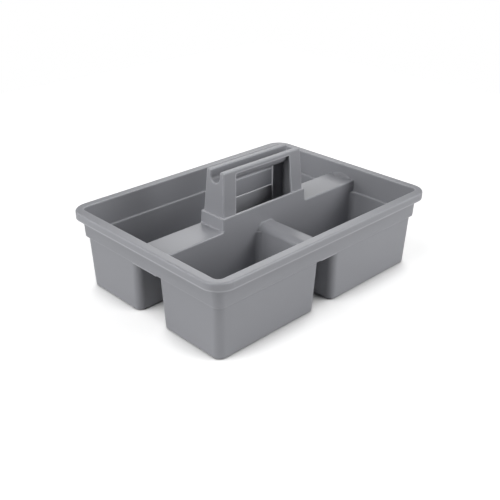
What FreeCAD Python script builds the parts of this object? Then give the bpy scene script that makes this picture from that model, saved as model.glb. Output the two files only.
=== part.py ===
import FreeCAD, Part
import os
from math import acos, degrees, radians, sin, sqrt, tan

# Carry caddy with three bins, in millimetres and degrees.
# X runs along the handle, Y across it and Z up, from the middle of the base.
# The two small bins are on the -Y side and the long bin is on the +Y side.

# Rim and outside walls
rim_length = 400.0
rim_width = 291.0
rim_height = 113.0
rim_overhang = 10.0
rim_skirt = 11.0
rim_corner = 30.0
rim_edge = 2.5
rim_mouth_edge = 1.2
wall = 2.5
floor = 2.5
wall_draft = 1.9

# Stacking step: the walls below it are set in, so that one caddy nests in the next
step_height = 74.0
step_inset = 3.2
step_plate = 4.0
step_edge = 1.2
ledge_edge = 1.0

# Bins, and the two tunnels that part them underneath
tunnel_width = 42.0
cross_tunnel_width = 26.0
tunnel_draft = 2.4
bin_corner = 10.0
bin_foot_edge = 4.0
bin_floor_edge = 3.0

# Bridges over the tunnels, and the saddle that carries the handle.
# The crown is the round end of the centre shelf. Its sweep starts crown_sink below the shelf's top.
shelf_height = 95.0
shelf_edge = 2.0
crown_radius = 41.0
crown_sweep = 20.0
crown_rise = 5.4
crown_sink = 0.1
cross_height = 87.0
cross_edge = 9.0
cross_ramp = 10.0
cross_seam = 2.0
saddle_length = 154.0
saddle_ramp = 2.5
saddle_edge = 1.2

# Handle
handle_height = 171.5
handle_draft = 3.5
handle_corner = 1.6
handle_edge = 2.0
handle_wall = 2.5
window_length = 105.0
grip_side = 5.5
grip_plate = 3.0
grip_floor = 2.5
groove_width = 16.0
groove_depth = 16.0
groove_edge = 1.2
foot_length = 12.0
foot_thickness = 3.0
handle_fit = 0.2

BIN_NAMES = ("rear", "left", "right")
TOUCH = 0.001
wall_slope = tan(radians(wall_draft))
tunnel_slope = tan(radians(tunnel_draft))
handle_slope = tan(radians(handle_draft))
ledge_height = step_height + step_plate
ORIGIN = FreeCAD.Vector(0, 0, 0)
X_AXIS = FreeCAD.Vector(1, 0, 0)
Z_AXIS = FreeCAD.Vector(0, 0, 1)


def wall_half(z, inset=0.0):
    """Half length and half width of the wall above the step, drawn in by inset."""
    run = rim_overhang + (rim_height - z) * wall_slope + inset
    return rim_length / 2 - run, rim_width / 2 - run


def wall_corner(z, inset=0.0):
    """Corner radius of that wall, on the same centre as the rim's corner."""
    return rim_corner - rim_overhang - (rim_height - z) * wall_slope - inset


def tunnel_half(width, z):
    """Half width at height z of a tunnel that is width wide at the step."""
    return width / 2 + (step_height - z) * tunnel_slope


def bridge_half(width, z):
    """Half width of a bridge, one wall outside the tunnel that it covers."""
    return tunnel_half(width, z) + wall


def centred(half_x, half_y):
    """Rectangle about the origin as x_min, x_max, y_min, y_max."""
    return -half_x, half_x, -half_y, half_y


def saddle_outline(z, inset=0.0):
    """The saddle's outline at height z, drawn in by inset on every side."""
    half_length = saddle_length / 2 + (rim_height - z) * tunnel_slope
    return centred(half_length - inset, bridge_half(tunnel_width, z) - inset)


def tapered_box(low, high, z_low, z_high):
    """Solid between the rectangle low at z_low and the rectangle high at z_high."""
    rings = []
    for (x0, x1, y0, y1), z in ((low, z_low), (high, z_high)):
        corners = ((x0, y0), (x1, y0), (x1, y1), (x0, y1))
        rings.append([FreeCAD.Vector(x, y, z) for x, y in corners])
    bottom, top = rings
    outlines = [bottom[::-1], top]
    for i in range(4):
        j = (i + 1) % 4
        outlines.append([bottom[i], bottom[j], top[j], top[i]])
    faces = [Part.Face(Part.makePolygon(points + points[:1])) for points in outlines]
    return Part.Solid(Part.makeShell(faces))


def edges_where(solid, wanted):
    """Edges picked by their midpoint and bounding box."""
    picked = []
    for edge in solid.Edges:
        midpoint = edge.valueAt((edge.FirstParameter + edge.LastParameter) / 2)
        if wanted(midpoint, edge.BoundBox):
            picked.append(edge)
    return picked


def uprights(solid):
    return edges_where(solid, lambda point, box: box.ZLength > TOUCH)


def level_edges(solid, z):
    return edges_where(solid, lambda point, box: box.ZLength < TOUCH and abs(point.z - z) < TOUCH)


def level_ring(solid, z):
    """The closed outline of a solid's flat face at height z."""
    return Part.Wire(Part.__sortEdges__(level_edges(solid, z)))


def front_half(solid):
    """The part of a solid on the -Y side."""
    side = (-rim_length, rim_length, -rim_width, 0.0)
    return solid.common(tapered_box(side, side, 0.0, handle_height))


def bin_outline(name, z, inset, reach=0.0):
    """A bin's outline drawn in by inset, with reach added towards the caddy's outside."""
    far_x, far_y = wall_half(z, step_inset - reach)
    near_x = tunnel_half(cross_tunnel_width, z)
    near_y = tunnel_half(tunnel_width, z)
    outlines = {
        "rear": (-far_x, far_x, near_y, far_y),
        "left": (-far_x, -near_x, -far_y, -near_y),
        "right": (near_x, far_x, -far_y, -near_y),
    }
    x0, x1, y0, y1 = outlines[name]
    return x0 + inset, x1 - inset, y0 + inset, y1 - inset


def bin_prism(low, high, z_low, z_high, inset):
    """Block of a bin with its upright corners rounded, tighter beside the tunnels."""
    limit_x, limit_y = wall_half(0.0, step_inset + rim_corner)

    def at_caddy_corner(point, box):
        return box.ZLength > TOUCH and abs(point.x) > limit_x and abs(point.y) > limit_y

    def beside_tunnel(point, box):
        return box.ZLength > TOUCH and not at_caddy_corner(point, box)

    block = tapered_box(low, high, z_low, z_high)
    outer_corner = wall_corner(ledge_height, inset)
    block = block.makeFillet(outer_corner, edges_where(block, at_caddy_corner))
    return block.makeFillet(bin_corner - inset, edges_where(block, beside_tunnel))


def bin_block(name):
    """A bin's outside, up into the stacking step, with a rounded foot."""
    low = bin_outline(name, 0.0, 0.0)
    high = bin_outline(name, ledge_height, 0.0)
    block = bin_prism(low, high, 0.0, ledge_height, 0.0)
    return block.makeFillet(bin_foot_edge, level_edges(block, 0.0))


def bin_hollow(name):
    """The space inside a bin, with an eased edge round its floor and at the ledge."""
    ease_height = ledge_height - ledge_edge
    low = bin_outline(name, floor, wall)
    neck = bin_outline(name, ease_height, wall)
    mouth = bin_outline(name, ledge_height, wall, ledge_edge)
    hollow = bin_prism(low, neck, floor, ease_height, wall)
    opening = bin_prism(mouth, mouth, ease_height, ledge_height, wall)
    rings = [level_ring(hollow, ease_height), level_ring(opening, ledge_height)]
    hollow = hollow.makeChamfer(bin_floor_edge, level_edges(hollow, floor))
    return hollow.fuse(Part.makeLoft(rings, True, True))


def wall_block(inset, z_low):
    """The wall above the step as a solid block, drawn in by inset."""
    low = centred(*wall_half(z_low, inset))
    high = centred(*wall_half(rim_height, inset))
    block = tapered_box(low, high, z_low, rim_height)
    return block.makeFillet(wall_corner(ledge_height, inset), uprights(block))


def rim_flange():
    """Flat land with a rounded outer edge, and a skirt that hangs from it."""
    skirt_foot = rim_height - rim_skirt
    outline = centred(rim_length / 2, rim_width / 2)
    flange = tapered_box(outline, outline, skirt_foot, rim_height)
    flange = flange.makeFillet(rim_corner, uprights(flange))
    flange = flange.makeFillet(rim_edge, level_edges(flange, rim_height))
    inner = centred(rim_length / 2 - wall, rim_width / 2 - wall)
    channel = tapered_box(inner, inner, skirt_foot, rim_height - wall)
    channel = channel.makeFillet(rim_corner - wall, uprights(channel))
    return flange.cut(channel)


def saddle_block(inset, z_low):
    """The saddle as a solid block up to its top, drawn in by inset."""
    return tapered_box(saddle_outline(z_low, inset), saddle_outline(rim_height, inset), z_low, rim_height)


def side_edges(beam, width, reach):
    """Edges along both sides of a bridge's top, within reach of the middle."""

    def beside_top(point, box):
        on_side = abs(abs(point.y) - bridge_half(width, point.z)) < TOUCH
        raised = box.ZMin > step_height and point.z < rim_height - TOUCH
        return on_side and raised and abs(point.x) < reach

    return edges_where(beam, beside_top)


def shelf_crown(side):
    """End of the centre shelf, where its crowned top sweeps up the wall as part of a ring."""
    top = shelf_height - crown_sink
    turn = acos(1 - (crown_rise + crown_sink) / crown_sweep)
    start = side * (wall_half(shelf_height, wall)[0] - crown_sweep * sin(turn))
    half_width = tunnel_half(tunnel_width, shelf_height) - TOUCH
    shoulder = top - crown_radius + sqrt(crown_radius ** 2 - half_width ** 2)
    front = FreeCAD.Vector(start, -half_width, shoulder)
    back = FreeCAD.Vector(start, half_width, shoulder)
    crown = Part.Arc(front, FreeCAD.Vector(start, 0, top), back).toShape()
    foot = [back, FreeCAD.Vector(start, half_width, step_height)]
    foot += [FreeCAD.Vector(start, -half_width, step_height), front]
    section = Part.Face(Part.Wire([crown] + Part.makePolygon(foot).Edges))
    into_wall = degrees(turn) + degrees(wall / 2 / crown_sweep)
    pivot = FreeCAD.Vector(start, 0, top + crown_sweep)
    return section.revolve(pivot, FreeCAD.Vector(0, -side, 0), into_wall)


def centre_bridge():
    """Beam along X that carries the saddle, and sweeps up into the end walls."""

    def outline(z):
        return centred(rim_length / 2, bridge_half(tunnel_width, z))

    def at_saddle(point, box):
        across = box.YLength > wall and box.XLength < TOUCH
        return across and abs(point.z - shelf_height) < TOUCH and abs(point.x) < saddle_length

    beam = tapered_box(outline(step_height), outline(shelf_height), step_height, shelf_height)
    beam = beam.fuse(saddle_block(0.0, shelf_height)).removeSplitter()
    beam = beam.makeFillet(saddle_ramp, edges_where(beam, at_saddle))
    beam = beam.makeFillet(shelf_edge, side_edges(beam, tunnel_width, rim_length))
    beam = beam.makeFillet(saddle_edge, level_edges(beam, rim_height))
    return beam.multiFuse([shelf_crown(-1), shelf_crown(1)])


def cross_bridge():
    """Beam along Y with a round top that sweeps up into the front wall."""
    ramp_top = cross_height + cross_ramp + wall

    def end_at(z):
        return wall_half(z, wall)[1]

    def outline(z):
        return centred(end_at(z) + rim_overhang, bridge_half(cross_tunnel_width, z))

    def space_above(z):
        return centred(end_at(z), rim_length)

    def at_end(point, box):
        across = box.YLength > wall and box.XLength < TOUCH
        return across and abs(point.z - cross_height) < TOUCH

    beam = tapered_box(outline(step_height), outline(ramp_top), step_height, ramp_top)
    beam = beam.cut(tapered_box(space_above(cross_height), space_above(ramp_top), cross_height, ramp_top))
    beam = beam.makeFillet(cross_ramp, edges_where(beam, at_end))
    beam = beam.makeFillet(cross_edge, side_edges(beam, cross_tunnel_width, end_at(rim_height)))
    beam.rotate(ORIGIN, Z_AXIS, 90)
    return front_half(beam)


def bridges():
    """Centre bridge with its saddle, and the cross bridge that runs into its front."""

    def where_they_meet(point, box):
        on_front = abs(point.y + bridge_half(tunnel_width, point.z)) < TOUCH
        under_saddle = abs(point.x) < bridge_half(cross_tunnel_width, 0.0)
        return on_front and under_saddle and step_height < point.z < shelf_height

    both = centre_bridge().fuse(cross_bridge()).removeSplitter()
    both = both.makeFillet(cross_seam, edges_where(both, where_they_meet))
    return both.common(wall_block(0.0, step_height))


def tunnel_roof_space(width, height, axis, z_low):
    """The space along X under a bridge, from z_low up to its roof."""
    roof = height - wall
    low = centred(wall_half(z_low, wall)[axis], tunnel_half(width, z_low))
    high = centred(wall_half(roof, wall)[axis], tunnel_half(width, roof))
    return tapered_box(low, high, z_low, roof)


def cross_roof_space():
    """The space under the cross bridge, with a roof as round as the bridge above it."""
    roof = cross_height - wall
    space = tunnel_roof_space(cross_tunnel_width, cross_height, 1, step_height - cross_edge)
    along_roof = edges_where(space, lambda point, box: box.YLength < TOUCH and abs(point.z - roof) < TOUCH)
    space = space.makeFillet(cross_edge - wall, along_roof)
    space.rotate(ORIGIN, Z_AXIS, 90)
    return front_half(space)


def caddy_tub():
    """The tub moulding: rim, walls, three bins, and the bridges with the saddle."""

    def rim_mouth(point, box):
        half_x, half_y = wall_half(rim_height, wall)
        level = box.ZLength < TOUCH and abs(point.z - rim_height) < TOUCH
        within = abs(point.x) < half_x + TOUCH and abs(point.y) < half_y + TOUCH
        return level and within and (abs(point.x) > saddle_length or abs(point.y) > tunnel_width)

    tub = wall_block(0.0, step_height)
    tub = tub.makeChamfer(step_edge, level_edges(tub, step_height))
    for name in BIN_NAMES:
        tub = tub.fuse(bin_block(name))
    tub = tub.fuse(rim_flange())
    tub = tub.cut(wall_block(wall, ledge_height))
    tub = tub.fuse(bridges())
    for name in BIN_NAMES:
        tub = tub.cut(bin_hollow(name))
    tub = tub.cut(tunnel_roof_space(tunnel_width, shelf_height, 0, step_height))
    tub = tub.cut(cross_roof_space())
    tub = tub.cut(saddle_block(wall, shelf_height - wall)).removeSplitter()
    return tub.makeFillet(rim_mouth_edge, edges_where(tub, rim_mouth))


def handle_outline(z, inset):
    """The handle's outline drawn in by inset: in the saddle it follows the saddle's
    taper, and above the saddle it has its own."""
    depth = wall + handle_fit + inset
    if z < rim_height:
        return saddle_outline(z, depth)
    return saddle_outline(rim_height, depth + (z - rim_height) * handle_slope)


def handle_block(inset, z_low, z_high):
    """A length of the handle as a solid block, drawn in by inset."""
    return tapered_box(handle_outline(z_low, inset), handle_outline(z_high, inset), z_low, z_high)


def handle_feet(z_low, z_high):
    """Tongue at the bottom of each post that bears up under the shelf beside it."""
    x_high = handle_outline(z_high, handle_wall)[1]
    y_half = handle_outline(z_high, 0.0)[3]
    feet = []
    for side in (-1, 1):
        run = sorted((side * x_high, side * (x_high + handle_wall + foot_length)))
        outline = (*run, -y_half, y_half)
        feet.append(tapered_box(outline, outline, z_low, z_high))
    return feet


def along_grip(radius, z_low, z_high):
    """Round-bottomed bar along the grip, up to z_high."""
    axis_height = z_low + radius
    start = FreeCAD.Vector(-saddle_length / 2, 0, axis_height)
    rod = Part.makeCylinder(radius, saddle_length, start, X_AXIS)
    upper = centred(saddle_length / 2, radius)
    return rod.fuse(tapered_box(upper, upper, axis_height, z_high))


def carry_handle():
    """Two hollow posts, open to the hand window, under a grip with a round groove."""
    seat = shelf_height - wall - handle_fit
    foot = seat - foot_thickness
    window_top = handle_height - grip_side
    ceiling = handle_height - grip_plate
    groove_floor = handle_height - groove_depth

    def window_outline(z):
        return centred(window_length / 2 - (z - rim_height) * handle_slope, rim_width)

    upper = handle_block(0.0, rim_height, handle_height)
    upper = upper.makeFillet(handle_corner, uprights(upper))
    upper = upper.makeFillet(handle_edge, level_edges(upper, handle_height))
    lower = handle_block(0.0, foot, rim_height)
    lower = lower.makeFillet(handle_corner, uprights(lower))
    handle = upper.fuse(lower)
    handle = handle.cut(handle_block(handle_wall, rim_height, ceiling))
    handle = handle.cut(handle_block(handle_wall, foot, rim_height))
    handle = handle.cut(tapered_box(window_outline(foot), window_outline(window_top), foot, window_top))
    trough = along_grip(groove_width / 2 + grip_floor, groove_floor - grip_floor, handle_height)
    handle = handle.fuse(trough.common(upper))
    handle = handle.multiFuse(handle_feet(foot, seat))
    handle = handle.cut(along_grip(groove_width / 2, groove_floor, handle_height)).removeSplitter()

    def groove_lip(point, box):
        beside = abs(point.y) - groove_width / 2
        along = abs(beside) < TOUCH and abs(point.z - handle_height) < TOUCH
        in_notch = beside < TOUCH and point.z > handle_height - groove_depth - TOUCH
        at_end = abs(point.x) > handle_outline(handle_height, handle_edge)[1] - TOUCH
        return along or (in_notch and at_end and box.XLength < handle_edge + TOUCH)

    return handle.makeChamfer(groove_edge, edges_where(handle, groove_lip))


os.makedirs("parts", exist_ok=True)
for node, solid in (("caddy_tub", caddy_tub()), ("carry_handle", carry_handle())):
    solid.exportStep(os.path.join("parts", node + ".step"))
    print(node, solid.isValid(), len(solid.Solids), round(solid.Volume / 1000, 1), "cm3")
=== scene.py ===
from math import atan2, copysign, cos, hypot, pi, radians, sin, tan

import bpy
from mathutils import Matrix, Vector


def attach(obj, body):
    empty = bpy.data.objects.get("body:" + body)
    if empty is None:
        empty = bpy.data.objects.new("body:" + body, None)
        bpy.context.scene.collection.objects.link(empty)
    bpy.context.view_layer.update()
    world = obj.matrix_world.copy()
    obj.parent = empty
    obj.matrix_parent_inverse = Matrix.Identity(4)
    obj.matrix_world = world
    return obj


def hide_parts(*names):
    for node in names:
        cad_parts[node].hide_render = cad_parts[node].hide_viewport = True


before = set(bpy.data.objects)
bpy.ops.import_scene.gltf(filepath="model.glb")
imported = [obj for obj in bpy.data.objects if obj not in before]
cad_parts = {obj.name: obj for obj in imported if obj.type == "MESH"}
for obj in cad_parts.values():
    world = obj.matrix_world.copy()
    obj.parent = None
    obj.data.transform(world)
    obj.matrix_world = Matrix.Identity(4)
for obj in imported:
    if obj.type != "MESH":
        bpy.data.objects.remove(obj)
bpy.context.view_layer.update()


# Tub
# One injection moulding in grey polypropylene: rim and skirt, outside walls with a stacking step,
# three bins, and the bridges between them. It came out of the mould in one piece and needs no fixing.

def linear(hex_colour):
    """Linear red, green, blue and alpha of an sRGB colour written as #rrggbb."""
    channels = []
    for start in (1, 3, 5):
        value = int(hex_colour[start:start + 2], 16) / 255
        channels.append(value / 12.92 if value <= 0.04045 else ((value + 0.055) / 1.055) ** 2.4)
    return (*channels, 1.0)


def add_node(tree, kind, settings, inputs):
    """A shader node with its settings, and its inputs as values or as links from other sockets."""
    node = tree.nodes.new(kind)
    for name, value in settings.items():
        setattr(node, name, value)
    for name, value in inputs.items():
        if isinstance(value, bpy.types.NodeSocket):
            tree.links.new(value, node.inputs[name])
        else:
            node.inputs[name].default_value = value
    return node


def per_metre(millimetres):
    """Pattern scale that repeats about once in this many millimetres."""
    return 1000.0 / millimetres


def moulded_polypropylene():
    """Grey polypropylene from a spark-eroded mould.

    It has a soft satin gloss, a fine even grain and faint clouds where the melt flowed."""
    pigment, pale_flow, painted_highlight_colour = linear("#98999E"), linear("#9C9DA2"), linear("#BDBEC3")
    cloud_mm, grain_mm = 90.0, 1.6
    edge_width, grain_depth = 0.0022, 0.0002
    material = bpy.data.materials.new("moulded_polypropylene_grey")
    material.use_nodes = True
    tree = material.node_tree
    tree.nodes.clear()
    place = add_node(tree, "ShaderNodeTexCoord", {}, {}).outputs["Object"]
    flow = add_node(tree, "ShaderNodeTexNoise", {}, {
        "Vector": place, "Scale": per_metre(cloud_mm), "Detail": 3.0, "Roughness": 0.5})
    colour = add_node(tree, "ShaderNodeMix", {"data_type": "RGBA"}, {
        "Factor": flow.outputs["Fac"], "A": pigment, "B": pale_flow})
    # Pale lines are painted along the outer edges as highlights, where their rounding would catch the
    # light.
    edge = add_node(tree, "ShaderNodeAmbientOcclusion", {"inside": True, "samples": 8}, {
        "Distance": edge_width})
    edge_highlight_mask = add_node(tree, "ShaderNodeMapRange", {}, {
        "Value": edge.outputs["AO"], "From Min": 0.72, "From Max": 0.985, "To Min": 0.8, "To Max": 0.0})
    shade = add_node(tree, "ShaderNodeMix", {"data_type": "RGBA"}, {
        "Factor": edge_highlight_mask.outputs["Result"], "A": colour.outputs["Result"], "B": painted_highlight_colour})
    # The real grain is about 0.2 mm. It is drawn coarser, so that it shows at the render's size.
    grain = add_node(tree, "ShaderNodeTexNoise", {}, {
        "Vector": place, "Scale": per_metre(grain_mm), "Detail": 2.0, "Roughness": 0.6})
    bump = add_node(tree, "ShaderNodeBump", {}, {
        "Height": grain.outputs["Fac"], "Strength": 0.12, "Distance": grain_depth})
    gloss = add_node(tree, "ShaderNodeMapRange", {}, {
        "Value": flow.outputs["Fac"], "To Min": 0.32, "To Max": 0.38})
    surface = add_node(tree, "ShaderNodeBsdfPrincipled", {}, {
        "Base Color": shade.outputs["Result"], "Roughness": gloss.outputs["Result"],
        "Normal": bump.outputs["Normal"], "IOR": 1.49})
    add_node(tree, "ShaderNodeOutputMaterial", {}, {"Surface": surface.outputs["BSDF"]})
    return material


def corner_rounds(height):
    """Rounds of an upright corner at a height, in metres.

    Each has the inset of its middle from the rim's edges, the least distance of its points from
    that middle, and the slide that tightens it."""
    rim_top, skirt_foot, step_top, step_foot = 0.113, 0.1015, 0.0785, 0.0735
    rim_round, rim_overhang, wall_round, step_inset = 0.030, 0.010, 0.01884, 0.0032
    rim_least, upper_least, lower_least = 0.022, 0.0155, 0.010
    rim_slide, wall_slide = 0.005, 0.008
    wall_draft = radians(1.9)
    upper_inset = rim_overhang + wall_round + (rim_top - height) * tan(wall_draft)
    rounds = []
    if height > skirt_foot:
        rounds.append((rim_round, rim_least, rim_slide))
    if height > step_foot:
        rounds.append((upper_inset, upper_least, wall_slide))
    if height < step_top:
        rounds.append((upper_inset + step_inset, lower_least, wall_slide))
    return rounds


def tighten_corners(shell):
    """Slide the points of the upright corners' rounds outwards, so that the tub turns its corners tightly.

    Each point keeps the way it faces, so the rounds stay round and the walls stay flat."""
    half_length, half_width, margin = 0.200, 0.1455, 0.0003
    for point in shell.vertices:
        x, y, z = point.co
        for inset, least, slide in corner_rounds(z):
            along, across = abs(x) - half_length + inset, abs(y) - half_width + inset
            if min(along, across) > -margin and hypot(along, across) > least:
                turn = atan2(max(across, 0.0), max(along, 0.0))
                point.co.x += copysign(slide * (1 - cos(turn)), x)
                point.co.y += copysign(slide * (1 - sin(turn)), y)
                break


def put_in_scene(name, data):
    """A new object of this name and data, linked to the scene."""
    thing = bpy.data.objects.new(name, data)
    bpy.context.scene.collection.objects.link(thing)
    return thing


polypropylene = moulded_polypropylene()
tub_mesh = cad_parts["caddy_tub"].data.copy()
tighten_corners(tub_mesh)
tub_mesh.materials.clear()
tub_mesh.materials.append(polypropylene)
tub = put_in_scene("tub_shell", tub_mesh)
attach(tub, "root")
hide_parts("caddy_tub")


# Handle
# A second moulding in the same plastic: two hollow posts under a grip with a groove along its top.
# It is pushed up into the saddle from below, where its taper and two tongues hold it.

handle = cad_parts["carry_handle"]
handle.data.materials.clear()
handle.data.materials.append(polypropylene)


# Floor
# A plain studio floor of white paper, on which the caddy stands on the flat feet of its bins.
# It keeps the caddy's shadow.

def studio_white():
    """Matt pale paper, lifted to white for the eye, with painted shade in the tunnels under the caddy and
    along its foot.
    """
    shadow_reach = 0.06
    material = bpy.data.materials.new("studio_paper_white")
    material.use_nodes = True
    tree = material.node_tree
    tree.nodes.clear()
    paper = add_node(tree, "ShaderNodeBsdfDiffuse", {}, {"Color": linear("#DCDCDC")})
    seen = add_node(tree, "ShaderNodeLightPath", {}, {})
    # Painted shade: the lift to white fades where the caddy closes over the floor.
    nearby = add_node(tree, "ShaderNodeAmbientOcclusion", {"samples": 16}, {"Distance": shadow_reach})
    lift_with_painted_shade = add_node(tree, "ShaderNodeMapRange", {}, {
        "Value": nearby.outputs["AO"], "From Min": 0.4, "From Max": 0.72, "To Min": 0.0, "To Max": 0.55})
    lift = add_node(tree, "ShaderNodeMath", {"operation": "MULTIPLY"}, {
        0: seen.outputs["Is Camera Ray"], 1: lift_with_painted_shade.outputs["Result"]})
    glow = add_node(tree, "ShaderNodeEmission", {}, {"Strength": lift.outputs["Value"]})
    both = add_node(tree, "ShaderNodeAddShader", {}, {
        0: paper.outputs["BSDF"], 1: glow.outputs["Emission"]})
    add_node(tree, "ShaderNodeOutputMaterial", {}, {"Surface": both.outputs["Shader"]})
    return material


floor_half = 1.1
floor_corners = [(-floor_half, -floor_half, 0), (floor_half, -floor_half, 0),
                 (floor_half, floor_half, 0), (-floor_half, floor_half, 0)]
floor_mesh = bpy.data.meshes.new("studio_floor")
floor_mesh.from_pydata(floor_corners, [], [(0, 1, 2, 3)])
floor_mesh.materials.append(studio_white())
floor = put_in_scene("studio_floor", floor_mesh)


# Light
# Seven round soft boxes in a white studio. Most stand to the left and right of the photograph's view,
# so the outside walls are evenly lit and the bins and the handle's window stay dark.

def studio_world():
    """White behind the floor for the eye, with hardly any light of its own."""
    world = bpy.data.worlds.new("white_studio")
    world.use_nodes = True
    tree = world.node_tree
    tree.nodes.clear()
    seen = add_node(tree, "ShaderNodeLightPath", {}, {})
    strength = add_node(tree, "ShaderNodeMapRange", {}, {
        "Value": seen.outputs["Is Camera Ray"], "To Min": 0.02, "To Max": 1.0})
    sky = add_node(tree, "ShaderNodeBackground", {}, {
        "Color": linear("#FFFFFF"), "Strength": strength.outputs["Result"]})
    add_node(tree, "ShaderNodeOutputWorld", {}, {"Surface": sky.outputs["Background"]})
    return world


def soft_box(name, bearing, rise, watts):
    """A round soft box that faces the caddy, at a bearing from +X and a rise from the floor in degrees."""
    box_width, box_distance = 1.2, 2.2
    caddy_middle = Vector((0, 0, 0.06))
    bearing, rise = radians(bearing), radians(rise)
    outward = Vector((cos(bearing) * cos(rise), sin(bearing) * cos(rise), sin(rise)))
    lamp = put_in_scene(name, bpy.data.lights.new(name, "AREA"))
    lamp.data.shape = "DISK"
    lamp.data.size = box_width
    lamp.data.energy = watts
    lamp.location = caddy_middle + box_distance * outward
    lamp.rotation_euler = (-outward).to_track_quat("-Z", "Y").to_euler()


bpy.context.scene.world = studio_world()
soft_box("top_box", 180, 90, 3.0)
soft_box("left_high_box", 180, 62, 13.0)
soft_box("left_box", 174, 24, 17.0)
soft_box("right_box", 315, 35, 15.0)
soft_box("front_box", 290, 18, 17.0)
soft_box("back_right_box", 45, 35, 10.0)
soft_box("back_left_box", 140, 16, 10.0)


# Camera
# The photograph's view, from above the corner of the left-hand small bin. Angles are in degrees,
# with azimuth 0 straight in front of the two small bins.

view_azimuth = radians(-44.55)
view_elevation = radians(27.08)
view_roll = radians(0.43)
view_distance = 1.0320
aim_point = Vector((-0.0170, -0.0092, 0.0440))

camera = put_in_scene("camera", bpy.data.cameras.new("camera"))
camera.data.sensor_width = 36.0
camera.data.lens = 54.15
view_turn = Matrix.Rotation(view_azimuth, 4, "Z") @ Matrix.Rotation(pi / 2 - view_elevation, 4, "X")
view_turn = view_turn @ Matrix.Rotation(view_roll, 4, "Z")
camera.matrix_world = Matrix.Translation(aim_point) @ view_turn @ Matrix.Translation((0, 0, view_distance))
bpy.context.scene.camera = camera
bpy.context.scene.view_settings.view_transform = "Standard"
